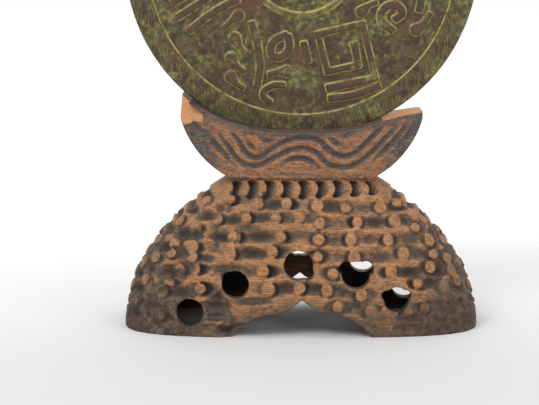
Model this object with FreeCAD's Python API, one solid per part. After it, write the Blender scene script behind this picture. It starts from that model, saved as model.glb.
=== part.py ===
"""Bronze relief disc standing on edge in a boat-shaped cradle on a hollow, pierced rockwork stand.

Frame: millimetres, +Z up, +X to the viewer's right, +Y towards the back.
The origin is on the table top, under the middle of the stand.

Pieces: rock_base (one hollowed block), cradle (the boat on top of it), two dowels that join
them, and gong_disc (one casting), which lifts straight up out of the cradle's groove.
"""
import math
import os

import FreeCAD, Part

Vector = FreeCAD.Vector

# ---- gong disc -------------------------------------------------------------------------------
DISC_DIAMETER = 300.0
RIM_THICKNESS = 6.0
RIM_WIDTH = 18.0
RIM_EDGE_CHAMFER = 0.8
FIELD_SINK_FRONT = 2.0       # the relief ground lies this far behind the rim's front face
FIELD_SINK_BACK = 1.0
RIM_STEP_SLOPE = 1.2         # radial width of the sloping step from rim to ground
INNER_RING_RADIUS = 46.0     # middle of the raised ring round the medallion
INNER_RING_WIDTH = 4.0
INNER_RING_HEIGHT = 1.3
MEDALLION_RADIUS = 24.0
MEDALLION_HEIGHT = 1.7

# ---- rock base -------------------------------------------------------------------------------
BASE_WIDTH = 306.0
BASE_DEPTH = 128.0
BASE_HEIGHT = 130.0          # table top to the seat under the cradle
NECK_WIDTH = 124.0
NECK_DEPTH = 54.0
SHOULDER_EXPONENT = 2.3      # how late the sides turn in towards the neck
PLAN_EXPONENT = 3.3          # superellipse exponent of every level cut
WALL = 14.0
CEILING_THICKNESS = 34.0     # solid wood between the hollow and the cradle
CEILING_ROUNDING = 12.0      # the hollow draws in by this much at its ceiling

# ---- bracket arches, front and back -----------------------------------------------------------
ARCH_HALF_WIDTH = 59.5
ARCH_SHOULDER_X = 30.0
ARCH_SHOULDER_Z = 19.2
ARCH_PEAK = 32.0

# ---- piercings: (x, z, radius) on the front; the back has the same set turned half round -----
PIERCINGS = [
    (-94.5, 20.4, 11.5),
    (-56.2, 44.0, 11.5),
    (-3.0, 60.1, 12.3),
    (45.4, 52.1, 11.8),
    (79.7, 31.7, 10.5),
]

# ---- cradle ----------------------------------------------------------------------------------
CRADLE_LENGTH = 206.6
CRADLE_DEPTH_MIDDLE = 60.0
CRADLE_DEPTH_ENDS = 38.0
KEEL_LENGTH = 121.0          # flat underside that sits on the base
BELLY_INSET = 15.5           # the hull's bulge between keel and horn: in from the end,
BELLY_RISE = 21.5            # and up from the seat
HORN_FOOT_RISE = 51.0        # where the hull's curve ends and the horn's end face starts
HORN_TIP_INSET = 1.3         # how far that face leans in by the tip
LIP_RISE = 39.2              # seat to the lip at the middle
HORN_RISE = 31.0             # lip at the middle to the horns' tips
HORN_EXPONENT = 2.8          # how late the lip turns up into the horns
END_EDGE_FILLET = 5.0
FRACTURE_RISE = 56.5         # seat to the right horn's fracture at its outer end
FRACTURE_SLOPE = 0.17        # how much the fracture drops for each millimetre inwards
FRACTURE_REACH = 60.0        # how far inwards the missing tip is cut away

# ---- groove for the disc -----------------------------------------------------------------------
GROOVE_DEPTH = 6.5           # below the lip at the middle
GROOVE_SIDE_CLEARANCE = 0.8
GROOVE_EXTRA_RADIUS = 8.0    # the groove's floor is this much flatter than the disc's edge
DISC_SEAT_CLEARANCE = 0.3    # between the disc's lowest point and the groove's floor

# ---- dowels ------------------------------------------------------------------------------------
DOWEL_DIAMETER = 10.0
DOWEL_SPACING = 76.0
DOWEL_LENGTH = 28.0
DOWEL_CHAMFER = 1.0
DOWEL_RADIAL_CLEARANCE = 0.05
DOWEL_END_CLEARANCE = 1.0

# ---- worked out from the sizes above -----------------------------------------------------------
SECTION_POINTS = 40          # points on each level cut of the base
SECTION_LEVELS = 9           # level cuts from the table to the neck
LIP_POINTS = 9
PAST = 5.0                   # how far a cutting tool runs past what it cuts
SEAT_Z = BASE_HEIGHT
LIP_Z = SEAT_Z + LIP_RISE
GROOVE_FLOOR_Z = LIP_Z - GROOVE_DEPTH
GROOVE_WIDTH = RIM_THICKNESS + 2 * GROOVE_SIDE_CLEARANCE
DISC_RADIUS = DISC_DIAMETER / 2
DISC_CENTRE = Vector(0, 0, GROOVE_FLOOR_Z + DISC_SEAT_CLEARANCE + DISC_RADIUS)


def point(x, z):
    """A point on the plane of the disc, given as the front view reads: across and up."""
    return Vector(x, 0, z)


def arc(a, b, c):
    return Part.Arc(a, b, c).toShape()


def line(a, b):
    return Part.LineSegment(a, b).toShape()


def plate(edges, depth):
    """A closed outline in the XZ plane made into a slab of that depth, centred on Y = 0."""
    face = Part.Face(Part.Wire(edges))
    face.translate(Vector(0, -depth / 2, 0))
    return face.extrude(Vector(0, depth, 0))


def polygon(points):
    return [line(a, b) for a, b in zip(points, points[1:] + points[:1])]


def solid_of(shape):
    """The one solid of a boolean's result, with its split faces merged."""
    cleaned = shape.removeSplitter()
    if len(cleaned.Solids) != 1:
        raise ValueError("expected one solid, got %d" % len(cleaned.Solids))
    return cleaned.Solids[0]


# ---- rock base ---------------------------------------------------------------------------------
def draw_in(z):
    """1 at the table, 0 at the neck: how much of the foot's extra size is left at height z."""
    return 1.0 - (max(z, 0.0) / BASE_HEIGHT) ** SHOULDER_EXPONENT


def half_width(z):
    return (NECK_WIDTH + (BASE_WIDTH - NECK_WIDTH) * draw_in(z)) / 2


def half_depth(z):
    return (NECK_DEPTH + (BASE_DEPTH - NECK_DEPTH) * draw_in(z)) / 2


def level_cut(a, b, z):
    """A closed superellipse of half sizes a and b at height z."""
    points = []
    for i in range(SECTION_POINTS):
        angle = 2 * math.pi * i / SECTION_POINTS
        c, s = math.cos(angle), math.sin(angle)
        x = a * math.copysign(abs(c) ** (2 / PLAN_EXPONENT), c)
        y = b * math.copysign(abs(s) ** (2 / PLAN_EXPONENT), s)
        points.append(Vector(x, y, z))
    curve = Part.BSplineCurve()
    curve.interpolate(points, PeriodicFlag=True)
    return Part.Wire(curve.toShape())


def outer_form():
    heights = [BASE_HEIGHT * i / (SECTION_LEVELS - 1) for i in range(SECTION_LEVELS)]
    cuts = [level_cut(half_width(z), half_depth(z), z) for z in heights]
    return Part.makeLoft(cuts, True, False)


def hollow():
    """The space under the base: the outer form less the wall, drawn in at the ceiling."""
    ceiling = BASE_HEIGHT - CEILING_THICKNESS
    heights = [-PAST, ceiling * 0.25, ceiling * 0.5, ceiling * 0.75, ceiling - CEILING_ROUNDING]
    cuts = [level_cut(half_width(z) - WALL, half_depth(z) - WALL, z) for z in heights]
    drawn = WALL + CEILING_ROUNDING
    cuts.append(level_cut(half_width(ceiling) - drawn, half_depth(ceiling) - drawn, ceiling))
    return Part.makeLoft(cuts, True, False)


def arches():
    """The bracket-shaped cut between the feet, through front and back walls alike."""
    left_foot, right_foot = point(-ARCH_HALF_WIDTH, 0), point(ARCH_HALF_WIDTH, 0)
    left_shoulder = point(-ARCH_SHOULDER_X, ARCH_SHOULDER_Z)
    right_shoulder = point(ARCH_SHOULDER_X, ARCH_SHOULDER_Z)
    peak = point(0, ARCH_PEAK)
    bow_x = (ARCH_HALF_WIDTH + ARCH_SHOULDER_X) / 2
    bow_z = ARCH_SHOULDER_Z * 0.68
    sweep_x = ARCH_SHOULDER_X * 0.42
    sweep_z = ARCH_SHOULDER_Z + (ARCH_PEAK - ARCH_SHOULDER_Z) * 0.34
    edges = [
        arc(left_foot, point(-bow_x, bow_z), left_shoulder),
        arc(left_shoulder, point(-sweep_x, sweep_z), peak),
        arc(peak, point(sweep_x, sweep_z), right_shoulder),
        arc(right_shoulder, point(bow_x, bow_z), right_foot),
        line(right_foot, point(ARCH_HALF_WIDTH, -PAST)),
        line(point(ARCH_HALF_WIDTH, -PAST), point(-ARCH_HALF_WIDTH, -PAST)),
        line(point(-ARCH_HALF_WIDTH, -PAST), left_foot),
    ]
    return plate(edges, BASE_DEPTH + 2 * PAST)


def piercings():
    """Round holes through one wall each: the front set, and the same set turned half round."""
    reach = BASE_DEPTH / 2 + PAST
    drills = []
    for x, z, radius in PIERCINGS:
        drills.append(Part.makeCylinder(radius, reach, point(x, z), Vector(0, -1, 0)))
        drills.append(Part.makeCylinder(radius, reach, point(-x, z), Vector(0, 1, 0)))
    return drills


def dowel_places():
    return {"left": -DOWEL_SPACING / 2, "right": DOWEL_SPACING / 2}


def dowel_sockets(direction):
    """Blind holes from the seat, up into the cradle (+1) or down into the base (-1)."""
    depth = DOWEL_LENGTH / 2 + DOWEL_END_CLEARANCE
    radius = DOWEL_DIAMETER / 2 + DOWEL_RADIAL_CLEARANCE
    way = Vector(0, 0, direction)
    return [
        Part.makeCylinder(radius, depth, point(x, SEAT_Z), way) for x in dowel_places().values()
    ]


def rock_base():
    body = outer_form().cut(hollow()).cut(arches())
    return solid_of(body.cut(piercings() + dowel_sockets(-1)))


# ---- cradle ------------------------------------------------------------------------------------
def tip_x():
    return CRADLE_LENGTH / 2 - HORN_TIP_INSET


def lip_height(x):
    """Height of the lip at x: nearly level in the middle, turned up into the horns."""
    return LIP_Z + HORN_RISE * (abs(x) / tip_x()) ** HORN_EXPONENT


def lip_edge():
    """The lip's curve from the right horn's tip to the left one's."""
    steps = [1 - 2 * i / (LIP_POINTS - 1) for i in range(LIP_POINTS)]
    curve = Part.BSplineCurve()
    curve.interpolate([point(tip_x() * s, lip_height(tip_x() * s)) for s in steps])
    return curve.toShape()


def hull_side():
    """The boat seen from the front: flat keel, bellied ends, horns and a dipping lip."""
    keel_x, end_x = KEEL_LENGTH / 2, CRADLE_LENGTH / 2
    keel = [point(s * keel_x, SEAT_Z) for s in (-1, 1)]
    belly = [point(s * (end_x - BELLY_INSET), SEAT_Z + BELLY_RISE) for s in (-1, 1)]
    foot = [point(s * end_x, SEAT_Z + HORN_FOOT_RISE) for s in (-1, 1)]
    tip = [point(s * tip_x(), lip_height(tip_x())) for s in (-1, 1)]
    edges = [
        line(keel[0], keel[1]),
        arc(keel[1], belly[1], foot[1]),
        line(foot[1], tip[1]),
        lip_edge(),
        line(tip[0], foot[0]),
        arc(foot[0], belly[0], keel[0]),
    ]
    return plate(edges, CRADLE_DEPTH_MIDDLE + 2 * PAST)


def hull_plan():
    """The boat seen from above: bowed sides between narrower, square-cut ends."""
    end_x, middle, end = CRADLE_LENGTH / 2, CRADLE_DEPTH_MIDDLE / 2, CRADLE_DEPTH_ENDS / 2
    z = SEAT_Z - PAST
    front = [Vector(-end_x, -end, z), Vector(0, -middle, z), Vector(end_x, -end, z)]
    back = [Vector(end_x, end, z), Vector(0, middle, z), Vector(-end_x, end, z)]
    edges = [arc(*front), line(front[2], back[0]), arc(*back), line(back[2], front[0])]
    tall = lip_height(tip_x()) - z + PAST
    slab = Part.Face(Part.Wire(edges)).extrude(Vector(0, 0, tall))
    corners = [e for e in slab.Edges if e.BoundBox.ZLength > tall / 2]
    return slab.makeFillet(END_EDGE_FILLET, corners)


def missing_tip():
    """What has broken off above the right horn's fracture."""
    outer_x, outer_z = CRADLE_LENGTH / 2, SEAT_Z + FRACTURE_RISE
    top = lip_height(tip_x()) + PAST
    outline = [
        point(outer_x - FRACTURE_REACH, outer_z - FRACTURE_SLOPE * FRACTURE_REACH),
        point(outer_x + PAST, outer_z + FRACTURE_SLOPE * PAST),
        point(outer_x + PAST, top),
        point(outer_x - FRACTURE_REACH, top),
    ]
    return plate(polygon(outline), CRADLE_DEPTH_MIDDLE + 2 * PAST)


def groove():
    """The slot along the boat that the disc's edge stands in, as a grooving wheel leaves it."""
    radius = DISC_RADIUS + GROOVE_EXTRA_RADIUS
    centre = Vector(0, -GROOVE_WIDTH / 2, GROOVE_FLOOR_Z + radius)
    return Part.makeCylinder(radius, GROOVE_WIDTH, centre, Vector(0, 1, 0))


def cradle():
    hull = hull_side().common(hull_plan())
    return solid_of(hull.cut([groove(), missing_tip()] + dowel_sockets(1)))


# ---- dowels --------------------------------------------------------------------------------------
def dowel(x):
    pin = Part.makeCylinder(DOWEL_DIAMETER / 2, DOWEL_LENGTH, point(x, SEAT_Z - DOWEL_LENGTH / 2))
    ends = [e for e in pin.Edges if e.Closed]
    return pin.makeChamfer(DOWEL_CHAMFER, ends).Solids[0]


# ---- gong disc -----------------------------------------------------------------------------------
def disc_profile():
    """Half section from the disc's axis outwards: (radius, depth), front face towards -Y."""
    front, back = -RIM_THICKNESS / 2, RIM_THICKNESS / 2
    ground, behind = front + FIELD_SINK_FRONT, back - FIELD_SINK_BACK
    rim_inner = DISC_RADIUS - RIM_WIDTH
    ring_in, ring_out = (INNER_RING_RADIUS + s * INNER_RING_WIDTH / 2 for s in (-1, 1))
    ring_face = ground - INNER_RING_HEIGHT
    bevel = INNER_RING_HEIGHT / 2
    return [
        (MEDALLION_RADIUS, ground),
        (ring_in - bevel, ground),
        (ring_in, ring_face),
        (ring_out, ring_face),
        (ring_out + bevel, ground),
        (rim_inner - RIM_STEP_SLOPE, ground),
        (rim_inner, front),
        (DISC_RADIUS - RIM_EDGE_CHAMFER, front),
        (DISC_RADIUS, front + RIM_EDGE_CHAMFER),
        (DISC_RADIUS, back - RIM_EDGE_CHAMFER),
        (DISC_RADIUS - RIM_EDGE_CHAMFER, back),
        (rim_inner, back),
        (rim_inner - RIM_STEP_SLOPE, behind),
        (0.0, behind),
    ]


def gong_disc():
    """The casting turned about its own axis, with a low domed medallion in the middle."""
    places = [Vector(r, y, 0) for r, y in disc_profile()]
    ground = places[0].y
    crown = Vector(0, ground - MEDALLION_HEIGHT, 0)
    flank = Vector(MEDALLION_RADIUS * 0.6, ground - MEDALLION_HEIGHT * 0.68, 0)
    edges = [arc(crown, flank, places[0])]
    edges += [line(a, b) for a, b in zip(places, places[1:])]
    edges.append(line(places[-1], crown))
    turned = Part.Face(Part.Wire(edges)).revolve(Vector(), Vector(0, 1, 0), 360)
    turned.translate(DISC_CENTRE)
    return turned.Solids[0] if turned.Solids else Part.makeSolid(turned)


def main():
    pieces = {"rock_base": rock_base(), "cradle": cradle(), "gong_disc": gong_disc()}
    for side, x in dowel_places().items():
        pieces["dowel_" + side] = dowel(x)
    os.makedirs("parts", exist_ok=True)
    for name, shape in pieces.items():
        box = shape.BoundBox
        print("%-12s valid %s volume %.0f mm3, x %.1f..%.1f y %.1f..%.1f z %.1f..%.1f" % (
            name, shape.isValid(), shape.Volume,
            box.XMin, box.XMax, box.YMin, box.YMax, box.ZMin, box.ZMax))
        shape.exportStep("parts/%s.step" % name)


main()
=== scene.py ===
"""A cast bronze relief disc on its carved wooden stand, modelled piece by piece on the CAD frame.

Laid out as an add-on: a settings group for each piece, one operator for each piece and one for the
stage, and a panel in the 3D view's sidebar that lists them. Run as a script, it makes everything.
"""
import math
import random

import bpy
import numpy as np
from bpy.props import FloatProperty, FloatVectorProperty, IntProperty, PointerProperty
from mathutils import Matrix, Vector
from mathutils.bvhtree import BVHTree


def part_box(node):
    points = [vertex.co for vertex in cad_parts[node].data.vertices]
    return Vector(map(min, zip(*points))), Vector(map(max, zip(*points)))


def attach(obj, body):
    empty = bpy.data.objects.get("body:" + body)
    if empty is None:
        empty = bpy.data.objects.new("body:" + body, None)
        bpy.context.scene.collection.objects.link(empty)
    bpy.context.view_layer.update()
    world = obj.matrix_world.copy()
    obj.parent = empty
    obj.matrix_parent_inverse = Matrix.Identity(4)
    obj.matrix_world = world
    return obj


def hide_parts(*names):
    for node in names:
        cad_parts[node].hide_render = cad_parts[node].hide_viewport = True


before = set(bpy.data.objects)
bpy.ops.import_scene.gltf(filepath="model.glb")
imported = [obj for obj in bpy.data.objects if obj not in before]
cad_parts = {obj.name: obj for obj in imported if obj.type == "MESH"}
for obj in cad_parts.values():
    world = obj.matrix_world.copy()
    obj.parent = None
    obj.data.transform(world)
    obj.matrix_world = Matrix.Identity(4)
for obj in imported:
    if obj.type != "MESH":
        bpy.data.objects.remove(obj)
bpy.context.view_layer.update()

bl_info = {
    "name": "Bronze Disc on a Carved Stand",
    "version": (1, 0, 0),
    "blender": (4, 5, 0),
    "location": "3D View > Sidebar > Gong",
    "description": "Models and finishes a cast bronze relief disc and its carved wooden stand",
    "category": "Add Mesh",
}

MM = 0.001
UP = Vector((0, 0, 1))
HALF_TURN = Matrix.Rotation(math.pi, 4, "Z")

# ---- places read from the frame ----------------------------------------------------------------
BASE_LOW, BASE_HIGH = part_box("rock_base")
CRADLE_LOW, CRADLE_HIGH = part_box("cradle")
DISC_LOW, DISC_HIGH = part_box("gong_disc")
DISC_CENTRE = (DISC_LOW + DISC_HIGH) / 2
RIM_FACE = DISC_LOW.y                      # the rim's front face, the furthest forward
GROUND_SINK = 2.0 * MM                     # the ground between rim and relief lies this far back
ROOT_DEPTH = 1.2 * MM                      # the relief's roots end this far inside the plate
TRIANGLES = {"rock_base": 190000, "cradle": 180000, "gong_disc": 195000}   # the most of each


# ---- handling ----------------------------------------------------------------------------------
def deselect():
    bpy.ops.object.select_all(action="DESELECT")


def activate(obj):
    deselect()
    obj.hide_set(False)
    obj.select_set(True)
    bpy.context.view_layer.objects.active = obj


def apply_modifier(obj, kind, **settings):
    """Adds a modifier, sets it and applies it."""
    activate(obj)
    bpy.ops.object.modifier_add(type=kind)
    modifier = obj.modifiers[-1]
    for name, value in settings.items():
        setattr(modifier, name, value)
    bpy.ops.object.modifier_apply(modifier=modifier.name)
    return obj


def join(objects, name):
    """Joins objects into the first one, under a new name."""
    deselect()
    for obj in objects:
        obj.select_set(True)
    bpy.context.view_layer.objects.active = objects[0]
    if len(objects) > 1:
        bpy.ops.object.join()
    objects[0].name = name
    return objects[0]


def discard(*objects):
    for obj in objects:
        bpy.data.objects.remove(obj)


def copy_of(obj, matrix=None):
    """A copy with its own mesh, its place moved into the mesh."""
    mesh = obj.data.copy()
    if matrix is not None:
        mesh.transform(matrix)
    copy = bpy.data.objects.new(obj.name, mesh)
    bpy.context.scene.collection.objects.link(copy)
    return copy


def cad_copy(node, name):
    """A free copy of a CAD node's surface, its loose triangles merged into one closed skin."""
    copy = copy_of(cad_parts[node])
    copy.name = name
    copy.data.materials.clear()
    activate(copy)
    bpy.ops.object.mode_set(mode="EDIT")
    bpy.ops.mesh.select_all(action="SELECT")
    bpy.ops.mesh.remove_doubles(threshold=0.01 * MM)
    bpy.ops.mesh.normals_make_consistent(inside=False)
    bpy.ops.object.mode_set(mode="OBJECT")
    return copy


def settle(obj):
    """Moves an object's place, turn and scale into its mesh."""
    activate(obj)
    bpy.ops.object.transform_apply(location=True, rotation=True, scale=True)
    return obj


def combine(obj, tool, operation="DIFFERENCE"):
    """Cuts a tool out of a piece, or adds it, and uses the tool up."""
    apply_modifier(obj, "BOOLEAN", operation=operation, object=tool, solver="MANIFOLD")
    discard(tool)
    return obj


def bisect(obj, point, normal):
    """Cuts away what lies behind a plane, and closes the cut."""
    activate(obj)
    bpy.ops.object.mode_set(mode="EDIT")
    bpy.ops.mesh.select_all(action="SELECT")
    bpy.ops.mesh.bisect(plane_co=point, plane_no=normal, use_fill=True, clear_inner=True)
    bpy.ops.object.mode_set(mode="OBJECT")
    return obj


def remesh(obj, voxel):
    return apply_modifier(obj, "REMESH", mode="VOXEL", voxel_size=voxel)


def drop_crumbs(obj):
    """Keeps the largest connected part of a piece, without the chips that cutting leaves loose."""
    activate(obj)
    bpy.ops.object.mode_set(mode="EDIT")
    bpy.ops.mesh.select_all(action="SELECT")
    bpy.ops.mesh.separate(type="LOOSE")
    bpy.ops.object.mode_set(mode="OBJECT")
    parts = sorted(bpy.context.selected_objects, key=lambda part: len(part.data.vertices))
    discard(*parts[:-1])
    return parts[-1]


def thin_to(obj, triangles):
    """Collapses edges, on the flattest parts first, until the piece has so many triangles."""
    obj.data.calc_loop_triangles()
    now = len(obj.data.loop_triangles)
    if now > triangles:
        apply_modifier(obj, "DECIMATE", ratio=triangles / now)


def tree_of(obj):
    """A search tree of an object's surface, for its nearest points and for sight lines."""
    return BVHTree.FromObject(obj, bpy.context.evaluated_depsgraph_get())


def points_of(obj):
    flat = np.empty(len(obj.data.vertices) * 3)
    obj.data.vertices.foreach_get("co", flat)
    return flat.reshape(-1, 3)


def normals_of(obj):
    flat = np.empty(len(obj.data.vertices) * 3)
    obj.data.vertices.foreach_get("normal", flat)
    return flat.reshape(-1, 3)


def write_attribute(obj, name, values):
    attribute = obj.data.attributes.new(name, "FLOAT", "POINT")
    attribute.data.foreach_set("value", np.asarray(values, np.float32))


def finish_piece(obj, name, material, body, node):
    """Names, shades, paints and hands a finished piece to the frame."""
    obj.name = name
    obj.data.name = name
    activate(obj)
    bpy.ops.object.shade_smooth()
    obj.data.materials.clear()
    obj.data.materials.append(material)
    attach(obj, body)
    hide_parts(node)


# ---- materials ---------------------------------------------------------------------------------
def stain(red, green, blue):
    """A colour as a paint chart gives it, 0 to 255, made linear."""
    linear = []
    for value in (red, green, blue):
        share = value / 255
        linear.append(share / 12.92 if share <= 0.04045 else ((share + 0.055) / 1.055) ** 2.4)
    return (*linear, 1.0)


class Finish:
    """A node material being wired: each method adds a node and returns its output socket."""

    def __init__(self, name, roughness, metallic=0.0, specular=0.5):
        self.material = bpy.data.materials.new(name)
        self.material.use_nodes = True
        self.nodes = self.material.node_tree.nodes
        self.links = self.material.node_tree.links
        self.shader = self.nodes["Principled BSDF"]
        self.shader.inputs["Roughness"].default_value = roughness
        self.shader.inputs["Metallic"].default_value = metallic
        self.shader.inputs["Specular IOR Level"].default_value = specular
        self.place = self.nodes.new("ShaderNodeTexCoord").outputs["Object"]

    def feed(self, socket, value):
        if isinstance(value, bpy.types.NodeSocket):
            self.links.new(value, socket)
        else:
            socket.default_value = value

    def mapped(self, scale, shift):
        node = self.nodes.new("ShaderNodeMapping")
        self.feed(node.inputs["Vector"], self.place)
        node.inputs["Scale"].default_value = scale
        node.inputs["Location"].default_value = shift
        return node.outputs["Vector"]

    def noise(self, size, detail=3.0, roughness=0.55, stretch=(1, 1, 1), shift=(0, 0, 0), warp=0.0):
        """Noise whose blotches are about so many metres across."""
        node = self.nodes.new("ShaderNodeTexNoise")
        self.feed(node.inputs["Vector"], self.mapped(scale=stretch, shift=shift))
        node.inputs["Scale"].default_value = 1 / size
        node.inputs["Detail"].default_value = detail
        node.inputs["Roughness"].default_value = roughness
        node.inputs["Distortion"].default_value = warp
        return node.outputs["Fac"]

    def attribute(self, name):
        node = self.nodes.new("ShaderNodeAttribute")
        node.attribute_name = name
        return node.outputs["Fac"]

    def axis(self, name):
        node = self.nodes.new("ShaderNodeSeparateXYZ")
        self.feed(node.inputs[0], self.place)
        return node.outputs[name]

    def math(self, operation, a, b=0.0):
        node = self.nodes.new("ShaderNodeMath")
        node.operation = operation
        self.feed(node.inputs[0], a)
        self.feed(node.inputs[1], b)
        return node.outputs[0]

    def span(self, value, low, high, to_low=0.0, to_high=1.0):
        """0 below low, 1 above high, and a smooth change between."""
        node = self.nodes.new("ShaderNodeMapRange")
        node.interpolation_type = "SMOOTHSTEP"
        self.feed(node.inputs["Value"], value)
        node.inputs["From Min"].default_value = low
        node.inputs["From Max"].default_value = high
        node.inputs["To Min"].default_value = to_low
        node.inputs["To Max"].default_value = to_high
        return node.outputs["Result"]

    def mix(self, share, a, b):
        node = self.nodes.new("ShaderNodeMix")
        node.data_type = "RGBA"
        self.feed(node.inputs["Factor"], share)
        self.feed(node.inputs[6], a)
        self.feed(node.inputs[7], b)
        return node.outputs[2]

    def bump(self, height, strength, distance, under=None):
        node = self.nodes.new("ShaderNodeBump")
        node.inputs["Strength"].default_value = strength
        node.inputs["Distance"].default_value = distance
        self.feed(node.inputs["Height"], height)
        if under is not None:
            self.feed(node.inputs["Normal"], under)
        return node.outputs["Normal"]

    def done(self, colour, roughness=None, normal=None):
        self.feed(self.shader.inputs["Base Color"], colour)
        if roughness is not None:
            self.feed(self.shader.inputs["Roughness"], roughness)
        if normal is not None:
            self.feed(self.shader.inputs["Normal"], normal)
        return self.material


def grain(finish, fibre=0.9 * MM):
    """Fine fibres along X, and the dark pores between them."""
    fibres = finish.noise(fibre, detail=4.0, roughness=0.65, stretch=(0.07, 1, 1))
    pores = finish.noise(0.7 * MM, detail=2.0, roughness=0.6, stretch=(0.18, 1, 1), shift=(3, 1, 2))
    return fibres, finish.span(pores, 0.36, 0.46)


def soil(finish, colour, pores, pore_share, pore_tint, size, share, tint):
    """Fills the wood's pores with grime and lays smears of dirt over it."""
    grime = finish.math("MULTIPLY", finish.math("SUBTRACT", 1.0, pores), pore_share)
    colour = finish.mix(grime, colour, pore_tint)
    smears = finish.noise(size, detail=5.0, roughness=0.7, stretch=(0.5, 1, 1), shift=(7, 3, 5))
    return finish.mix(finish.math("MULTIPLY", finish.span(smears, 0.5, 0.64), share), colour, tint)


def carved_wood(settings):
    """Dark stained wood, worn to bare wood on its high spots and dusty in its hollows, near-black
    deep in the cuts from dark stain and painted shade.
    """
    f = Finish("carved_wood", roughness=0.62, specular=0.3)
    cut = f.attribute("cut_depth")
    proud = f.attribute("proud")
    blotch = f.noise(6 * MM, detail=6.0, roughness=0.62)
    broad = f.noise(38 * MM, detail=3.0, shift=(5, 2, 1))
    fibres, pores = grain(f)
    sideways = f.span(f.math("ABSOLUTE", f.axis("X")), 70 * MM, 130 * MM)
    low = f.span(f.axis("Z"), 15 * MM, 50 * MM, 0.9, 0.0)
    bare = f.mix(f.span(blotch, 0.35, 0.65), tuple(settings.bare), stain(120, 87, 61))
    bare = f.mix(f.span(fibres, 0.4, 0.78), bare, stain(194, 140, 92))
    dusty = f.mix(f.span(broad, 0.4, 0.6), stain(92, 74, 60), stain(104, 92, 74))
    dusty = f.mix(f.span(blotch, 0.38, 0.6), dusty, stain(64, 48, 40))
    pale = f.math("MULTIPLY", f.span(fibres, 0.5, 0.8), f.span(cut, 1.0, 3.0))
    dusty = f.mix(f.math("MULTIPLY", pale, 0.35), dusty, stain(158, 146, 126))
    height = f.math("ADD", proud, f.math("MULTIPLY", f.math("SUBTRACT", blotch, 0.5), 5.5))
    height = f.math("SUBTRACT", height, f.math("MULTIPLY", f.math("SUBTRACT", cut, 1.0), 0.22))
    away = f.math("ADD", f.math("ADD", sideways, low), f.math("SUBTRACT", broad, 0.5))
    height = f.math("SUBTRACT", height, f.math("MULTIPLY", away, 1.35))
    wear = f.span(height, -1.3, 0.6)
    colour = f.mix(wear, dusty, bare)
    # Deep in the cuts the colour goes near-black: partly dark stain, partly painted shade where the
    # cuts fall into shadow.
    stain_and_shade_depth = f.math("SUBTRACT", cut, f.math("MULTIPLY", f.math("SUBTRACT", blotch, 0.5), 5.0))
    stain_and_shade_depth = f.math("SUBTRACT", stain_and_shade_depth, f.math("MULTIPLY", proud, 0.8))
    colour = f.mix(f.span(stain_and_shade_depth, 2.8, 6.6), colour, tuple(settings.recess_stain_and_shade))
    colour = soil(f, colour, pores, 0.6, stain(44, 33, 28), 3.2 * MM, 0.45, stain(58, 44, 36))
    # The hollow's inside goes near-black: a dark finish and painted shade inside the hollow.
    colour = f.mix(f.attribute("inside"), colour, stain(22, 22, 25))
    relief = f.bump(fibres, 0.6, 0.5 * MM)
    relief = f.bump(blotch, 0.4, 1.4 * MM, under=relief)
    roughness = f.span(wear, 0.0, 1.0, 0.75, 0.55)
    return f.done(colour, roughness, relief)


def cradle_wood():
    """The cradle's wood: dark in the wave grooves from stain and painted shade, near-black painted
    shadow in the deepest cuts, orange on the ridges, grey along the lip.
    """
    f = Finish("cradle_wood", roughness=0.6, specular=0.3)
    cut = f.attribute("cut_depth")
    proud = f.attribute("proud")
    below_lip = f.attribute("below_lip")
    fresh = f.attribute("fresh")
    blotch = f.noise(6 * MM, detail=6.0, roughness=0.65, stretch=(0.6, 1, 1))
    broad = f.noise(30 * MM, detail=3.0, shift=(1, 4, 2))
    fibres, pores = grain(f, 0.8 * MM)
    bare = f.mix(f.span(blotch, 0.35, 0.66), stain(154, 107, 71), stain(110, 77, 56))
    bare = f.mix(f.span(fibres, 0.42, 0.78), bare, stain(186, 132, 88))
    grey = f.mix(f.span(fibres, 0.3, 0.7), stain(58, 52, 50), stain(104, 94, 86))
    sides = f.span(f.math("ABSOLUTE", f.axis("X")), 62 * MM, 92 * MM, 0.0, 0.9)
    height = f.math("ADD", proud, f.math("MULTIPLY", f.math("SUBTRACT", blotch, 0.5), 4.6))
    height = f.math("SUBTRACT", height, f.math("MULTIPLY", cut, 0.45))
    height = f.math("SUBTRACT", height, f.math("MULTIPLY", f.math("SUBTRACT", broad, 0.5), 0.8))
    height = f.math("SUBTRACT", height, sides)
    colour = f.mix(f.span(height, -0.75, 0.15), grey, bare)
    rim = f.span(f.math("ADD", below_lip, f.math("MULTIPLY", blotch, 6.0)), 4.5, 8.5, 1.0, 0.0)
    colour = f.mix(f.math("MULTIPLY", rim, 0.85), colour, grey)
    # Darker in the wave grooves: dark stain and painted shade.
    deep = f.span(f.math("SUBTRACT", cut, f.math("MULTIPLY", blotch, 1.0)), 0.6, 1.9)
    colour = f.mix(f.math("MULTIPLY", deep, 0.65), colour, stain(46, 42, 42))
    # Near-black in the deepest cuts, such as the gap along the disc: painted shadow.
    colour = f.mix(f.span(cut, 2.6, 4.2), colour, stain(16, 15, 16))
    colour = soil(f, colour, pores, 0.55, stain(42, 33, 29), 3.0 * MM, 0.5, stain(60, 50, 46))
    raw = f.mix(f.span(fibres, 0.3, 0.7), stain(166, 112, 72), stain(196, 142, 96))
    colour = f.mix(fresh, colour, raw)
    relief = f.bump(fibres, 0.6, 0.5 * MM)
    relief = f.bump(blotch, 0.35, 1.2 * MM, under=relief)
    return f.done(colour, None, relief)


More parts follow.
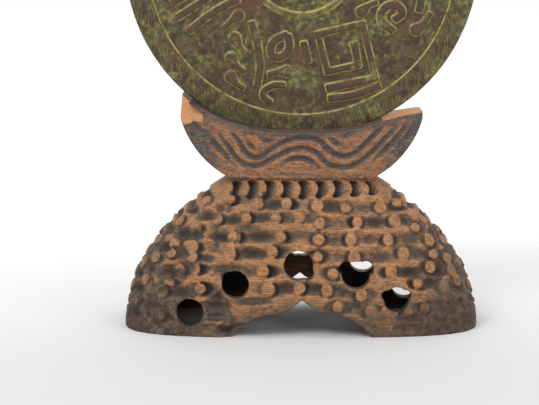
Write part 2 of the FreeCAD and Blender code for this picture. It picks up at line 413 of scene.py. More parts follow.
def patinated_bronze():
    """Cast bronze: brown relief, olive ground, and a bright yellow-green painted highlight on the
    slopes between.
    """
    f = Finish("patinated_bronze", roughness=0.5, metallic=0.25, specular=0.5)
    # Height in mm in front of the ground: the relief's tops are at 1.75, the rim's face at 2.
    height = f.math("MULTIPLY", f.math("ADD", f.axis("Y"), -(RIM_FACE + GROUND_SINK)), -1 / MM)
    speck = f.noise(1.0 * MM, detail=4.0, roughness=0.7)
    fine = f.noise(4.5 * MM, detail=6.0, roughness=0.66, shift=(9, 2, 4))
    cloudy = f.noise(13 * MM, detail=7.0, roughness=0.68, shift=(4, 2, 6), warp=0.3)
    patch = f.noise(34 * MM, detail=6.0, roughness=0.62, shift=(3, 7, 1))
    olive = f.mix(f.span(fine, 0.3, 0.7), stain(62, 55, 34), stain(100, 88, 50))
    brown = f.mix(f.span(fine, 0.3, 0.7), stain(52, 38, 30), stain(80, 58, 40))
    green = f.mix(f.span(fine, 0.3, 0.7), stain(62, 66, 38), stain(102, 106, 60))
    colour = f.mix(f.span(cloudy, 0.44, 0.58), olive, brown)
    colour = f.mix(f.math("MULTIPLY", f.span(patch, 0.50, 0.64), 0.55), colour, green)
    rust = f.span(f.math("ADD", patch, f.math("MULTIPLY", cloudy, 0.5)), 0.56, 0.66, 1.0, 0.0)
    colour = f.mix(f.math("MULTIPLY", rust, 0.8), colour, stain(94, 56, 38))
    tops = f.span(height, 1.0, 1.5)
    rim = f.span(height, 1.85, 1.95)
    off_rim = f.span(height, 1.85, 1.95, 1.0, 0.0)
    worn = f.mix(f.span(cloudy, 0.42, 0.58), stain(84, 54, 42), stain(66, 56, 40))
    colour = f.mix(f.math("MULTIPLY", f.math("MULTIPLY", tops, off_rim), 0.75), colour, worn)
    # Painted highlight: a broken yellow-green line along every slope of the relief, where the step
    # walls catch the light.
    rising = f.span(height, 0.05, 0.4)
    falling = f.span(height, 0.95, 1.5, 1.0, 0.0)
    highlight_band = f.math("MULTIPLY", rising, falling)
    broken = f.math("ADD", f.math("MULTIPLY", cloudy, 0.7), f.math("MULTIPLY", fine, 0.5))
    broken = f.span(broken, 0.5, 0.68)
    painted_highlight = f.math("MULTIPLY", highlight_band, f.math("ADD", 0.2, f.math("MULTIPLY", broken, 0.75)))
    colour = f.mix(painted_highlight, colour, stain(166, 158, 84))
    stray = f.span(f.math("MULTIPLY", fine, patch), 0.27, 0.38)
    colour = f.mix(f.math("MULTIPLY", stray, 0.35), colour, stain(160, 152, 82))
    teal = f.span(f.noise(10 * MM, detail=4.0, shift=(2, 5, 8)), 0.65, 0.74)
    colour = f.mix(f.math("MULTIPLY", teal, 0.6), colour, stain(92, 128, 100))
    copper = f.span(f.noise(8 * MM, detail=3.0, shift=(6, 1, 3)), 0.70, 0.75)
    colour = f.mix(f.math("MULTIPLY", copper, 0.75), colour, stain(178, 120, 78))
    streaks = f.noise(0.9 * MM, detail=3.0, stretch=(1, 1, 0.12), shift=(1, 1, 7))
    dark_rim = f.math("MULTIPLY", rim, f.span(cloudy, 0.46, 0.6))
    colour = f.mix(f.math("MULTIPLY", dark_rim, 0.55), colour, stain(56, 40, 32))
    scratched = f.math("MULTIPLY", f.span(streaks, 0.52, 0.62), rim)
    colour = f.mix(f.math("MULTIPLY", scratched, 0.35), colour, stain(150, 140, 74))
    colour = f.mix(f.span(speck, 0.3, 0.42, 0.45, 0.0), colour, stain(34, 30, 22))
    relief = f.bump(speck, 0.5, 0.4 * MM)
    relief = f.bump(fine, 0.5, 0.9 * MM, under=relief)
    roughness = f.span(fine, 0.3, 0.7, 0.42, 0.62)
    return f.done(colour, roughness, relief)


def plain_wood():
    """Turned hardwood of the dowels, unstained."""
    f = Finish("dowel_wood", roughness=0.6, specular=0.3)
    rings = f.noise(1.2 * MM, detail=3.0, stretch=(1, 1, 0.06))
    colour = f.mix(f.span(rings, 0.35, 0.65), stain(186, 150, 104), stain(150, 112, 72))
    return f.done(colour, None, f.bump(rings, 0.3, 0.3 * MM))


def studio_floor():
    """Matt pale grey, with painted light: lighter behind the piece, darker towards the front."""
    f = Finish("studio_floor", roughness=0.9, specular=0.1)
    # Painted light: the floor goes from grey in front to near-white behind, as the studio light
    # falls off.
    behind = f.span(f.axis("Y"), -0.35, 1.0)
    return f.done(f.mix(behind, (0.57, 0.57, 0.57, 1), (0.98, 0.98, 0.98, 1)))


# ---- settings ----------------------------------------------------------------------------------
class DiscSettings(bpy.types.PropertyGroup):
    voxel: FloatProperty(
        name="Surface detail", description="Size of the finest relief detail",
        default=0.75 * MM, unit="LENGTH")
    relief: FloatProperty(
        name="Relief height", description="Height of the ornaments above the ground",
        default=1.75 * MM, unit="LENGTH")
    motifs: IntProperty(
        name="Motifs", description="How many ornaments stand round the disc", default=8)
    ring: FloatProperty(
        name="Motif ring", description="Radius of the ring that the ornaments are centred on",
        default=88 * MM, unit="LENGTH")


class CradleSettings(bpy.types.PropertyGroup):
    voxel: FloatProperty(
        name="Surface detail", description="Size of the finest carved detail",
        default=0.85 * MM, unit="LENGTH")
    groove: FloatProperty(
        name="Groove width", description="Width of a carved wave groove",
        default=6.4 * MM, unit="LENGTH")


class BaseSettings(bpy.types.PropertyGroup):
    voxel: FloatProperty(
        name="Surface detail", description="Size of the finest carved detail",
        default=1.0 * MM, unit="LENGTH")
    gouge: FloatProperty(
        name="Gouge radius", description="Radius of the gouge's sweep",
        default=6.5 * MM, unit="LENGTH")
    depth: FloatProperty(
        name="Cut depth", description="Depth of a cut where it meets a post",
        default=8.0 * MM, unit="LENGTH")
    post: FloatProperty(
        name="Post radius", description="Radius of the round posts left standing",
        default=4.8 * MM, unit="LENGTH")
    bare: FloatVectorProperty(
        name="Bare wood", description="Colour of the worn high spots",
        subtype="COLOR", size=4, default=stain(160, 113, 73))
    # The near-black laid deep in the cuts: dark stain and painted shade.
    recess_stain_and_shade: FloatVectorProperty(
        name="Recess", description="Colour of the stain deep in the cuts",
        subtype="COLOR", size=4, default=stain(34, 30, 30))


class StageSettings(bpy.types.PropertyGroup):
    distance: FloatProperty(
        name="Camera distance", description="From the camera to the point it looks at",
        default=1.5, unit="LENGTH")
    downward: FloatProperty(
        name="Camera tilt", description="How far the camera looks down",
        default=math.radians(10), subtype="ANGLE")
    lens: FloatProperty(
        name="Lens", description="Focal length in millimetres", default=115.3)


class GongSettings(bpy.types.PropertyGroup):
    disc: PointerProperty(type=DiscSettings)
    cradle: PointerProperty(type=CradleSettings)
    base: PointerProperty(type=BaseSettings)
    stage: PointerProperty(type=StageSettings)


def coarse(voxel):
    """Gives the detail as it is set."""
    return voxel


# ---- rock base -----------------------------------------------------------------------------------
# Round posts that the carver left standing on the front, in rows from the neck down: (x, z) in mm.
POSTS = (
    ((-78, 106), (-61, 114), (-37, 111), (-13, 111), (13, 109), (37, 107), (67, 107)),
    ((-72, 98), (-47, 99), (-22, 99), (-2, 100), (15, 95), (47, 96), (79, 96), (97, 90)),
    ((-102, 85), (-79, 88), (-57, 84), (-18, 84), (14, 82), (41, 82), (73, 81), (109, 80)),
    ((-111, 69), (-93, 75), (-61, 70), (-25, 72), (13, 68), (44, 67), (86, 70), (112, 68)),
    ((-116, 52), (-91, 57), (-33, 56), (26, 54), (75, 55), (109, 58), (128, 54)),
    ((-120, 37), (-86, 41), (-28, 41), (-2, 42), (21, 40), (50, 36), (98, 45), (121, 40)),
    ((-143, 26), (-134, 27), (-76, 28), (-70, 15), (30, 26), (58, 22), (104, 24), (128, 22)),
)
# Long shallow grooves of the foot: middle x, height, length and nominal depth in mm.
FOOT_GROOVES = (
    (-104, 17, 60, 1.8), (-70, 9, 44, 1.4), (-124, 7, 40, 1.2),
    (100, 16, 62, 1.8), (92, 8, 60, 1.3), (132, 11, 40, 1.5),
    (-40, 31, 38, 1.8), (44, 29, 30, 1.7), (0, 39, 30, 1.3), (-75, 20, 34, 1.8), (70, 21, 34, 1.7),
)
# Nicks that leave the piercings uneven: x, z and radius in mm.
NICKS = (
    (-62, 49, 5.5), (4, 54, 6), (37, 57, 6), (54, 57, 6.5), (72, 35, 5), (87, 35, 5), (80, 24, 6),
)
TOP_POCKETS = 9              # tall pockets under the cradle's ledge
FIRST_POCKET = -58           # x of the leftmost of them, in mm
POCKET_PITCH = 14.6          # and from each to the next, in mm
POCKET_HEIGHT = 122.5 * MM
SCOOP_REACH = 16 * MM        # how far the scoop tool runs before it leaves the wood
TROUGH_LENGTH = 27 * MM
TROUGH_DEPTH = 3.8 * MM
TROUGH_SPAN = 26             # the post spacing, in mm, that the trough tool fits as it is
FULL_GROOVE = 3.4            # a foot groove of this nominal depth takes the trough's whole depth
TOOL_TOP = 7 * MM            # how far above the wood the tools are cut off
FOOT_HEIGHT = 30 * MM        # below this the cuts of the front are shallower
NECK_HEIGHT = 0.1            # above this height the front isn't pierced
HOLLOW = -0.35 * BASE_HIGH.y  # a sight line that gets behind this has gone through a piercing
END_LOW, END_HIGH = 9 * MM, 124 * MM       # the heights between which the ends are carved
END_MIDDLE = 13 * MM         # nearer than this to the middle of an end are troughs, not posts
END_PITCH = 25               # from post to post round an end, in mm
FIRST_END_ROW = -2           # degrees above the floor of the lowest row of an end
END_ROW_STEP = 8.6           # degrees from each row of an end to the next
END_ROWS = 14                # rows of cuts round each end, from the foot to the neck


def struck(tree, start, end):
    """The first point of a surface on the way from start to end, and its outward normal."""
    way = (end - start).normalized()
    place, normal, _, _ = tree.ray_cast(start, way)
    return (place, normal) if place is not None else None


def on_front(tree, x, z):
    """The front at x and z, or nothing where it is pierced."""
    found = struck(tree, Vector((x, -1, z)), Vector((x, 0, z)))
    if found and found[0].y > HOLLOW and z < NECK_HEIGHT:
        return None
    return found


def on_end(tree, y, turn):
    """The end of the base at a depth y, looking in at so many radians above the floor."""
    middle = Vector((72 * MM, y, 18 * MM))
    return struck(tree, middle + Vector((math.cos(turn), 0, math.sin(turn))), middle)


def seat(place, normal):
    """A matrix that stands a tool on the surface: X along the row, Z out of the wood."""
    along = UP.cross(normal).normalized()
    upward = normal.cross(along)
    turn = Matrix((along, upward, normal)).transposed().to_4x4()
    return Matrix.Translation(place) @ turn


def pillar(radius, length, location=(0, 0, 0)):
    deselect()
    bpy.ops.mesh.primitive_cylinder_add(
        vertices=20, radius=radius, depth=length, location=location)
    return settle(bpy.context.object)


def scoop_tool(radius, reach, depth):
    """A half-round gouge's cut: deep at X = 0, and out of the wood at X = reach."""
    tilt = math.atan2(depth, reach)
    length = 1.5 * math.hypot(depth, reach) + 2 * radius
    axis = Vector((math.cos(tilt), 0, math.sin(tilt)))
    middle = Vector((0, 0, -depth)) + axis * (length / 2 - radius)
    middle += Vector((-math.sin(tilt), 0, math.cos(tilt))) * radius
    deselect()
    bpy.ops.mesh.primitive_cylinder_add(
        vertices=20, radius=radius, depth=length, location=middle,
        rotation=(0, math.pi / 2 - tilt, 0))
    tool = settle(bpy.context.object)
    tool.name = "scoop_tool"
    bisect(tool, (0, 0, 0), (1, 0, 0))
    return bisect(tool, (0, 0, TOOL_TOP), (0, 0, -1))


def trough_tool(radius, length, depth):
    """A long even cut along X, its ends running out of the wood."""
    deselect()
    bpy.ops.mesh.primitive_uv_sphere_add(segments=20, ring_count=12, radius=1)
    tool = bpy.context.object
    tool.name = "trough_tool"
    tool.scale = (0.62 * length, radius, radius)
    tool.location = (0, 0, radius - depth)
    return settle(tool)


def pocket_tool(s):
    """A gouge driven straight in beside a crescent ridge, its floor rising towards +X."""
    tool = pillar(1.25 * s.gouge, 4 * s.depth)
    bisect(tool, (-s.gouge, 0, -1.05 * s.depth), (-0.5, 0, 1))
    bisect(tool, (0, 0, TOOL_TOP), (0, 0, -1))
    return combine(tool, pillar(1.3 * s.gouge, 80 * MM, (-1.45 * s.gouge, 0, 0)))


def front_cells():
    """Each post of the front as (x, z, gap to the right, gap to the left), in metres."""
    for row in POSTS:
        places = sorted(row)
        for i, (x, z) in enumerate(places):
            right = places[i + 1][0] - x if i + 1 < len(places) else 30
            left = x - places[i - 1][0] if i else 30
            yield x * MM, z * MM, right * MM, left * MM


class Kit:
    """The carver's tools, each modelled once, and the copies that have been put to work."""

    def __init__(self, s):
        self.chance = random.Random(11)
        self.voxel = coarse(s.voxel)
        self.scoop = scoop_tool(s.gouge, SCOOP_REACH, s.depth)
        self.trough = trough_tool(1.2 * s.gouge, TROUGH_LENGTH, TROUGH_DEPTH)
        self.pocket = pocket_tool(s)
        self.post = pillar(s.post, 60 * MM)
        self.cuts, self.posts = [], []

    def use(self, tool, stand, length=1.0, width=1.0, deep=1.0, turn=0.0):
        lean = Matrix.Rotation(turn + math.radians(self.chance.uniform(-5, 5)), 4, "Z")
        size = Matrix.Diagonal((length, width, deep, 1))
        made = copy_of(tool, stand @ lean @ size)
        (self.posts if tool == self.post else self.cuts).append(made)

    def cell(self, found, right, left, deep_right, deep_left, swell=1.0):
        """A post with a scoop running off each side of it."""
        stand = seat(*found)
        vary = self.chance.uniform
        self.use(self.scoop, stand, right / SCOOP_REACH, vary(0.9, 1.1), deep_right)
        self.use(self.scoop, stand, left / SCOOP_REACH, vary(0.85, 1.05), deep_left, math.pi)
        self.use(self.post, stand, swell, swell * vary(0.9, 1.2))

    def finish(self):
        """One tool of all the cuts, less the posts that they leave standing."""
        discard(self.scoop, self.trough, self.pocket, self.post)
        cuts = remesh(join(self.cuts, "cuts"), self.voxel)
        return combine(cuts, remesh(join(self.posts, "posts"), self.voxel))


def carve_front(kit, tree):
    vary = kit.chance.uniform
    for x, z, right, left in front_cells():
        found = on_front(tree, x, z)
        if not found:
            continue
        low = 0.6 if z < FOOT_HEIGHT else 1.0
        reach = [min(max(gap - 7 * MM, 9 * MM), 21 * MM) for gap in (right, left)]
        # The deeper cut is on the side of the post towards the middle.
        if x < 0:
            deep = (vary(0.85, 1.15) * low, vary(0.3, 0.55) * low)
        else:
            deep = (vary(0.4, 0.8) * low, vary(0.75, 1.1) * low)
        kit.cell(found, reach[0], 0.7 * reach[1], *deep, vary(0.9, 1.15))
        middle = on_front(tree, x + right / 2, z + vary(-1, 1) * MM)
        if middle:
            length = right / (TROUGH_SPAN * MM)
            kit.use(kit.trough, seat(*middle), length, vary(0.85, 1.1), vary(0.7, 1.2) * low)
    for i in range(TOP_POCKETS):
        found = on_front(tree, (FIRST_POCKET + i * POCKET_PITCH) * MM, POCKET_HEIGHT)
        kit.use(kit.pocket, seat(*found), width=vary(0.95, 1.05))
    for x, z, radius in NICKS:
        nick = pillar(radius * MM, 60 * MM)
        place = Matrix.Translation((x * MM, BASE_LOW.y + 18 * MM, z * MM))
        nick.data.transform(place @ Matrix.Rotation(math.pi / 2, 4, "X"))
        kit.cuts.append(nick)
    for x, z, length, depth in FOOT_GROOVES:
        found = on_front(tree, x * MM, z * MM)
        if found:
            kit.use(kit.trough, seat(*found), length / TROUGH_SPAN, 0.6, depth / FULL_GROOVE)


def carve_end(kit, tree):
    vary = kit.chance.uniform
    for row in range(END_ROWS):
        turn = math.radians(FIRST_END_ROW + END_ROW_STEP * row)
        for column in range(-2, 3):
            y = ((column - 0.5 * (row % 2)) * END_PITCH + vary(-3, 3)) * MM
            found = on_end(tree, y, turn)
            if not found or found[1].y < -0.75 or not END_LOW <= found[0].z <= END_HIGH:
                continue
            if abs(y) > END_MIDDLE:
                kit.cell(found, vary(12, 18) * MM, vary(9, 15) * MM, vary(0.6, 1.0), vary(0.4, 0.9))
            else:
                kit.use(kit.trough, seat(*found), vary(0.9, 1.2), vary(0.8, 1.0), vary(0.9, 1.5))
            between = on_end(tree, y + 12 * MM, turn)
            if between:
                kit.use(kit.trough, seat(*between), 1.1, vary(0.85, 1.1), vary(0.8, 1.3))


def cut_both_sides(piece, tool):
    """Cuts a tool out of the front, and out of the back turned half round."""
    turned = copy_of(tool, HALF_TURN)
    combine(piece, tool)
    return combine(piece, turned)


def neighbour_mean(obj, values, rounds):
    """The values blurred over the surface, by averaging along the edges again and again."""
    edges = np.empty(len(obj.data.edges) * 2, np.int64)
    obj.data.edges.foreach_get("vertices", edges)
    a, b = edges.reshape(-1, 2).T
    count = np.bincount(a, minlength=len(values)) + np.bincount(b, minlength=len(values)) + 1
    for _ in range(rounds):
        total = values + np.bincount(a, values[b], len(values))
        values = (total + np.bincount(b, values[a], len(values))) / count
    return values


def measure_cuts(piece, tree):
    """Writes how deep each point is cut, how proud it stands of its neighbours, both in mm,
    and whether it faces the hollow."""
    points, normals = points_of(piece), normals_of(piece)
    depth, inside = np.zeros(len(points)), np.zeros(len(points))
    for i, (p, n) in enumerate(zip(points, normals)):
        away = tree.find_nearest(p)[3]
        depth[i] = away / MM
        n = Vector(n)
        hit, facing, _, _ = tree.ray_cast(Vector(p) + n * 0.3 * MM, n)
        inside[i] = 1.0 if hit is not None and facing.dot(n) < 0 and away < 0.5 * MM else 0.0
    write_attribute(piece, "cut_depth", depth)
    write_attribute(piece, "proud", neighbour_mean(piece, depth, rounds=40) - depth)
    write_attribute(piece, "inside", neighbour_mean(piece, inside, rounds=2))


class GONG_OT_rock_base(bpy.types.Operator):
    """Carve the hollow rockwork base with rows of gouge cuts"""
    bl_idname = "gong.rock_base"
    bl_label = "Rock base"

    def execute(self, context):
        s = context.scene.gong.base
        piece = cad_copy("rock_base", "rock_base_carved")
        tree = tree_of(piece)
        kit = Kit(s)
        carve_front(kit, tree)
        carve_end(kit, tree)
        cut_both_sides(piece, kit.finish())
        piece = drop_crumbs(remesh(piece, coarse(s.voxel)))
        apply_modifier(piece, "SMOOTH", factor=0.5, iterations=1)
        thin_to(piece, TRIANGLES["rock_base"])
        measure_cuts(piece, tree)
        finish_piece(piece, "rock_base_carved", carved_wood(s), "stand", "rock_base")
        return {"FINISHED"}


# ---- cradle --------------------------------------------------------------------------------------
# The wave grooves on the front, each a line of (x, z) points in mm.
WAVES = (
    ((-39, 169), (-31, 163), (-18, 164)),
    ((-50, 168), (-43, 158), (-35, 152)),
    ((-62, 173), (-53, 161), (-46, 151), (-38, 148), (-24, 157), (-9, 164), (3, 165), (14, 163),
     (23, 155), (31, 150), (43, 151), (53, 159), (64, 170), (71, 177)),
    ((-72, 170), (-63, 158), (-53, 145), (-40, 141), (-24, 148), (-9, 155), (3, 156), (13, 152),
     (22, 143), (34, 140), (47, 143), (60, 153), (72, 165), (82, 175)),
    ((-84, 172), (-74, 160), (-64, 149), (-54, 139)),
    ((-20, 141), (-9, 147), (0, 148), (8, 145), (18, 137)),
    ((20, 168), (29, 161), (36, 158)),
    ((33, 165), (43, 170), (56, 179)),
    ((92, 180), (82, 166), (70, 154), (57, 142)),
    ((-96, 184), (-88, 172), (-80, 162)),
    ((86, 181), (92, 184), (98, 186)),
    ((97, 176), (90, 166), (80, 156)),
    ((-30, 139), (-20, 134)),
    ((28, 134), (42, 133)),
)
WAVE_LIFT = 0.35             # a wave tool's centre is this share of its radius above the wood
WAVE_END = 0.45              # the share of its radius that it thins to at each end
LIP_GAP_X = -80 * MM


def swept_tool(tree, line, radius):
    """A round tool's path along the front surface, as a closed solid."""
    deselect()
    bpy.ops.curve.primitive_bezier_curve_add()
    curve = bpy.context.object
    spline = curve.data.splines[0]
    spline.bezier_points.add(len(line) - len(spline.bezier_points))
    for knot, (x, z) in zip(spline.bezier_points, line):
        place, normal, _, _ = tree.ray_cast(Vector((x * MM, -1, z * MM)), Vector((0, 1, 0)))
        if place is None:
            place, normal = Vector((x * MM, CRADLE_LOW.y, z * MM)), Vector((0, -1, 0))
        knot.co = place + normal * radius * WAVE_LIFT
        knot.handle_left_type = knot.handle_right_type = "AUTO"
    spline.bezier_points[0].radius = spline.bezier_points[-1].radius = WAVE_END
    curve.data.bevel_depth = radius
    curve.data.bevel_resolution = 3
    curve.data.resolution_u = 8
    curve.data.use_fill_caps = True
    bpy.ops.object.convert(target="MESH")
    tool = settle(bpy.context.object)
    activate(tool)
    bpy.ops.object.mode_set(mode="EDIT")
    bpy.ops.mesh.select_all(action="SELECT")
    bpy.ops.mesh.remove_doubles(threshold=0.001 * MM)
    bpy.ops.mesh.normals_make_consistent(inside=False)
    bpy.ops.object.mode_set(mode="OBJECT")
    return tool


def lip_at(tree, x, y=-10 * MM):
    place, _, _, _ = tree.ray_cast(Vector((x, y, 1)), Vector((0, 0, -1)))
    return place.z if place is not None else CRADLE_HIGH.z


def lip_gap(tree):
    """The gap along the disc where the cradle's left side has shrunk away from it."""
    deselect()
    bpy.ops.mesh.primitive_uv_sphere_add(segments=24, ring_count=12, radius=1)
    tool = bpy.context.object
    tool.scale = (21 * MM, 5.5 * MM, 6 * MM)
    tool.rotation_euler = (0, math.radians(32), 0)
    tool.location = (LIP_GAP_X, -8.5 * MM, lip_at(tree, LIP_GAP_X) + 0.5 * MM)
    return settle(tool)


def lip_layer(tree):
    """The splintered top layer that is left along the lip, from the left horn inwards."""
    deselect()
    bpy.ops.mesh.primitive_grid_add(x_subdivisions=24, y_subdivisions=6, size=1)
    layer = bpy.context.object
    x0, x1, y0, y1 = -96 * MM, -38 * MM, -23 * MM, -4.6 * MM
    for vertex in layer.data.vertices:
        across, deep = vertex.co.x + 0.5, vertex.co.y + 0.5
        x = x0 + across * (x1 - x0) - 7 * MM * (1 - deep) * across ** 6
        y = y0 + deep * (y1 - y0)
        vertex.co = (x, y, lip_at(tree, x) - 1.5 * MM)
    apply_modifier(layer, "SOLIDIFY", thickness=3.6 * MM, offset=1)
    layer.name = "lip_layer"
    return layer


def facet_tool(place, normal, size):
    """A block whose one face is the plane of a break."""
    deselect()
    bpy.ops.mesh.primitive_cube_add(size=1)
    tool = bpy.context.object
    turn = Vector(normal).to_track_quat("Z", "Y").to_matrix().to_4x4()
    lift = Matrix.Translation((0, 0, 0.5))
    tool.data.transform(Matrix.Translation(place) @ turn @ Matrix.Diagonal((*size, 1)) @ lift)
    return tool


# The face of the chip that has come off the left horn: a point of it and its outward normal.
HORN_BREAK = Vector((-92 * MM, -13 * MM, 195 * MM))
HORN_BREAK_NORMAL = Vector((-0.25, -0.85, 0.45)).normalized()
LEFT_HORN = -84 * MM         # the left horn is left of this
RIGHT_BREAK = 69 * MM        # and the break of the right one is right of this


def measure_cradle(piece, tree):
    """Writes the depth of each point's cut, how far it is below the lip, and what is fresh wood."""
    points, normals = points_of(piece), normals_of(piece)
    depth, below, fresh = (np.zeros(len(points)) for _ in range(3))
    steps = np.linspace(CRADLE_LOW.x, CRADLE_HIGH.x, 120)
    lips = [lip_at(tree, x, -15 * MM) for x in steps]
    for i, (p, n) in enumerate(zip(points, normals)):
        depth[i] = tree.find_nearest(p)[3] / MM
        below[i] = (np.interp(p[0], steps, lips) - p[2]) / MM
        # Bare wood: the top of the broken right horn, and the face of the left horn's chip.
        top = p[0] > RIGHT_BREAK and n[2] > 0.6 and below[i] < 1.5
        off = (Vector(p) - HORN_BREAK).dot(HORN_BREAK_NORMAL)
        horn = p[0] < LEFT_HORN and abs(off) < 0.9 * MM and Vector(n).dot(HORN_BREAK_NORMAL) > 0.7
        fresh[i] = 1.0 if top or horn else 0.0
    write_attribute(piece, "cut_depth", depth * (1 - fresh))
    write_attribute(piece, "proud", neighbour_mean(piece, depth, rounds=60) - depth)
    write_attribute(piece, "below_lip", below)
    write_attribute(piece, "fresh", fresh)


class GONG_OT_cradle(bpy.types.Operator):
    """Carve the boat-shaped cradle with its wave grooves, broken horn and splintered lip"""
    bl_idname = "gong.cradle"
    bl_label = "Cradle"

    def execute(self, context):
        s = context.scene.gong.cradle
        piece = cad_copy("cradle", "cradle_carved")
        tree = tree_of(piece)
        waves = [swept_tool(tree, line, s.groove / 2) for line in WAVES]
        cut_both_sides(piece, remesh(join(waves, "waves"), coarse(0.7 * MM)))
        combine(piece, lip_gap(tree))
        break_size = (60 * MM, 60 * MM, 30 * MM)
        combine(piece, facet_tool(HORN_BREAK, HORN_BREAK_NORMAL, break_size))
        combine(piece, lip_layer(tree), "UNION")
        piece = drop_crumbs(remesh(piece, coarse(s.voxel)))
        apply_modifier(piece, "SMOOTH", factor=0.5, iterations=3)
        thin_to(piece, TRIANGLES["cradle"])
        measure_cradle(piece, tree)
        finish_piece(piece, "cradle_carved", cradle_wood(), "stand", "cradle")
        return {"FINISHED"}


# ---- gong disc -----------------------------------------------------------------------------------
# Made-up ornaments as strokes: a half width and a line of (x, z) points in mm, about the
# ornament's own middle, with the disc's centre above it. An angular stroke keeps its corners,
# and a drop tapers from a round head.
FRET = (
    ("angular", 3.0, ((-24, -22), (22, -30), (30, 20), (-12, 27), (-17, -8), (12, -13), (16, 8))),
    ("angular", 2.6, ((-30, 6), (-27, 26))),
    ("smooth", 2.6, ((-26, -31), (-2, -37), (24, -38))),
)
SPRIG = (
    ("smooth", 2.6, ((-22, 26), (-8, 8), (2, -10), (6, -26))),
    ("smooth", 2.8, ((14, 28), (20, 14), (10, 4), (4, 14), (14, 28))),
    ("drop", 4.2, ((-30, 6), (-22, 0), (-16, -3))),
    ("drop", 4.2, ((-26, -12), (-18, -17), (-10, -19))),
    ("drop", 4.0, ((-20, -28), (-12, -32), (-4, -33))),
    ("drop", 4.0, ((26, -4), (18, -8), (11, -13))),
    ("smooth", 2.4, ((30, -16), (18, -22), (14, -32), (24, -36))),
)
CLOUD = (
    ("smooth", 2.8, ((-28, -8), (-20, 8), (-6, 4), (-8, -8), (-18, -4))),
    ("smooth", 2.8, ((-2, -22), (12, -18), (22, -4), (12, 6), (4, -2))),
    ("drop", 4.4, ((0, 26), (10, 20), (20, 18))),
    ("drop", 4.0, ((-22, 26), (-14, 22), (-8, 16))),
    ("drop", 4.2, ((-18, -26), (-10, -30), (2, -32))),
    ("smooth", 2.4, ((22, 28), (30, 16), (30, 2))),
)
FAN = (
    ("smooth", 2.6, ((-28, 26), (-14, 0), (-10, -30))),
    ("smooth", 2.6, ((-10, 28), (-2, 2), (4, -30))),
    ("smooth", 2.6, ((10, 28), (12, 4), (20, -26))),
    ("drop", 4.0, ((24, 22), (26, 14), (30, 4))),
    ("drop", 3.8, ((-28, -4), (-24, -14), (-22, -22))),
)
MOTIFS = (FRET, CLOUD, FAN, SPRIG)
TUBE = 1.35                  # the radius of a stroke's tube over its listed half width
ORNAMENT_SCALE = (0.92, 1, 0.94, 1)


def stroke(kind, half_width, line):
    """One stroke of an ornament, a tube lying in the XZ plane."""
    deselect()
    bpy.ops.curve.primitive_bezier_curve_add()
    curve = bpy.context.object
    spline = curve.data.splines[0]
    spline.bezier_points.add(len(line) - len(spline.bezier_points))
    handle = "VECTOR" if kind == "angular" else "AUTO"
    for i, (knot, (x, z)) in enumerate(zip(spline.bezier_points, line)):
        knot.co = (x * MM, 0, z * MM)
        knot.handle_left_type = knot.handle_right_type = handle
        knot.radius = 0.5 if kind == "drop" and i else 1.0
    curve.data.bevel_depth = TUBE * half_width * MM
    curve.data.bevel_resolution = 3
    curve.data.resolution_u = 6
    curve.data.use_fill_caps = True
    bpy.ops.object.convert(target="MESH")
    made = bpy.context.object
    if kind == "drop":
        deselect()
        bpy.ops.mesh.primitive_uv_sphere_add(
            segments=16, ring_count=8, radius=TUBE * half_width * MM,
            location=(line[0][0] * MM, 0, line[0][1] * MM))
        made = join([made, settle(bpy.context.object)], "stroke")
    return settle(made)


def ornament(motif, number):
    made = join([stroke(*part) for part in motif], "ornament_%d" % number)
    remesh(made, coarse(0.7 * MM))
    return made


class GONG_OT_disc(bpy.types.Operator):
    """Cast the disc with its rim, ground and ring of raised ornaments"""
    bl_idname = "gong.disc"
    bl_label = "Gong disc"

    def execute(self, context):
        s = context.scene.gong.disc
        piece = cad_copy("gong_disc", "gong_disc_cast")
        ground = RIM_FACE + GROUND_SINK
        kinds = [ornament(motif, i) for i, motif in enumerate(MOTIFS)]
        relief = []
        for i in range(s.motifs):
            angle = 2 * math.pi * (i + 0.5) / s.motifs
            place = Matrix.Translation((DISC_CENTRE.x, ground, DISC_CENTRE.z))
            swing = Matrix.Rotation(-angle, 4, "Y")
            out = Matrix.Translation((0, 0, -s.ring)) @ Matrix.Diagonal(ORNAMENT_SCALE)
            relief.append(copy_of(kinds[i % len(kinds)], place @ swing @ out))
        discard(*kinds)
        relief = join(relief, "relief")
        bisect(relief, (0, ground - s.relief, 0), (0, 1, 0))
        bisect(relief, (0, ground + ROOT_DEPTH, 0), (0, -1, 0))
        piece = join([piece, relief], "gong_disc_cast")
        piece = drop_crumbs(remesh(piece, coarse(s.voxel)))
        apply_modifier(piece, "SMOOTH", factor=0.5, iterations=4)
        thin_to(piece, TRIANGLES["gong_disc"])
        finish_piece(piece, "gong_disc_cast", patinated_bronze(), "disc", "gong_disc")
        return {"FINISHED"}


class GONG_OT_dowels(bpy.types.Operator):
    """Finish the dowels that join the cradle to the base"""
    bl_idname = "gong.dowels"
    bl_label = "Dowels"

    def execute(self, context):
        wood = plain_wood()
        for name in ("dowel_left", "dowel_right"):
            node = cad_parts[name]
            node.data.materials.clear()
            node.data.materials.append(wood)
        return {"FINISHED"}


# ---- stage ---------------------------------------------------------------------------------------
LOOK_AT = Vector((-27.4 * MM, 0, 104.7 * MM))
FLOOR_SIZE = 12
# The soft lights: name, place, aim and size in metres, power in watts.
SOFTBOXES = (
    ("key", (-0.9, -1.2, 1.7), (0, 0, 0.15), (0.9, 0.9), 17),
    ("fill", (1.4, -1.3, 0.9), (0, 0, 0.15), (1.0, 1.0), 6),
    ("top", (0.2, 0.3, 2.0), (0, 0, 0.1), (1.6, 1.6), 9),
)


def softbox(name, place, aim, size, power):
    deselect()
    bpy.ops.object.light_add(type="AREA", location=place)
    light = bpy.context.object
    light.name = name
    light.data.shape = "RECTANGLE"
    light.data.size, light.data.size_y = size
    light.data.energy = power
    light.rotation_euler = (Vector(aim) - Vector(place)).to_track_quat("-Z", "Y").to_euler()


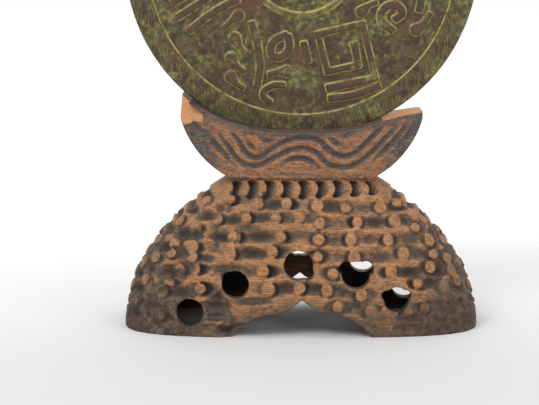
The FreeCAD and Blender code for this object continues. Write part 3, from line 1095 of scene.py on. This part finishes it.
class GONG_OT_stage(bpy.types.Operator):
    """Lay the pale floor, hang the soft lights and set up the camera"""
    bl_idname = "gong.stage"
    bl_label = "Stage"

    def execute(self, context):
        s = context.scene.gong.stage
        deselect()
        bpy.ops.mesh.primitive_plane_add(size=FLOOR_SIZE, location=(0, 0, 0))
        floor = bpy.context.object
        floor.name = "studio_floor"
        floor.data.materials.append(studio_floor())
        world = bpy.data.worlds.new("studio")
        context.scene.world = world
        world.use_nodes = True
        backdrop = world.node_tree.nodes["Background"]
        backdrop.inputs["Color"].default_value = (1, 1, 1, 1)
        backdrop.inputs["Strength"].default_value = 1.0
        for light in SOFTBOXES:
            softbox(*light)
        away = Vector((0, -math.cos(s.downward), math.sin(s.downward))) * s.distance
        deselect()
        bpy.ops.object.camera_add(
            location=LOOK_AT + away, rotation=(math.pi / 2 - s.downward, 0, 0))
        camera = context.object
        camera.data.lens = s.lens
        camera.data.sensor_width = 36
        context.scene.camera = camera
        context.scene.view_settings.view_transform = "Standard"
        return {"FINISHED"}


# ---- panel and registration ----------------------------------------------------------------------
STEPS = (GONG_OT_stage, GONG_OT_disc, GONG_OT_cradle, GONG_OT_rock_base, GONG_OT_dowels)


class GONG_PT_panel(bpy.types.Panel):
    bl_label = "Gong on a stand"
    bl_idname = "GONG_PT_panel"
    bl_space_type = "VIEW_3D"
    bl_region_type = "UI"
    bl_category = "Gong"

    def draw(self, context):
        for step in STEPS:
            self.layout.operator(step.bl_idname)
        settings = context.scene.gong
        for group in (settings.disc, settings.cradle, settings.base, settings.stage):
            column = self.layout.column(align=True)
            for name in group.__annotations__:
                column.prop(group, name)


SETTINGS = (DiscSettings, CradleSettings, BaseSettings, StageSettings, GongSettings)
CLASSES = (*SETTINGS, *STEPS, GONG_PT_panel)


def register():
    for cls in CLASSES:
        bpy.utils.register_class(cls)
    bpy.types.Scene.gong = PointerProperty(type=GongSettings)


def unregister():
    del bpy.types.Scene.gong
    for cls in reversed(CLASSES):
        bpy.utils.unregister_class(cls)


def main():
    register()
    bpy.ops.gong.stage()
    bpy.ops.gong.disc()
    bpy.ops.gong.cradle()
    bpy.ops.gong.rock_base()
    bpy.ops.gong.dowels()


if __name__ == "__main__":
    main()
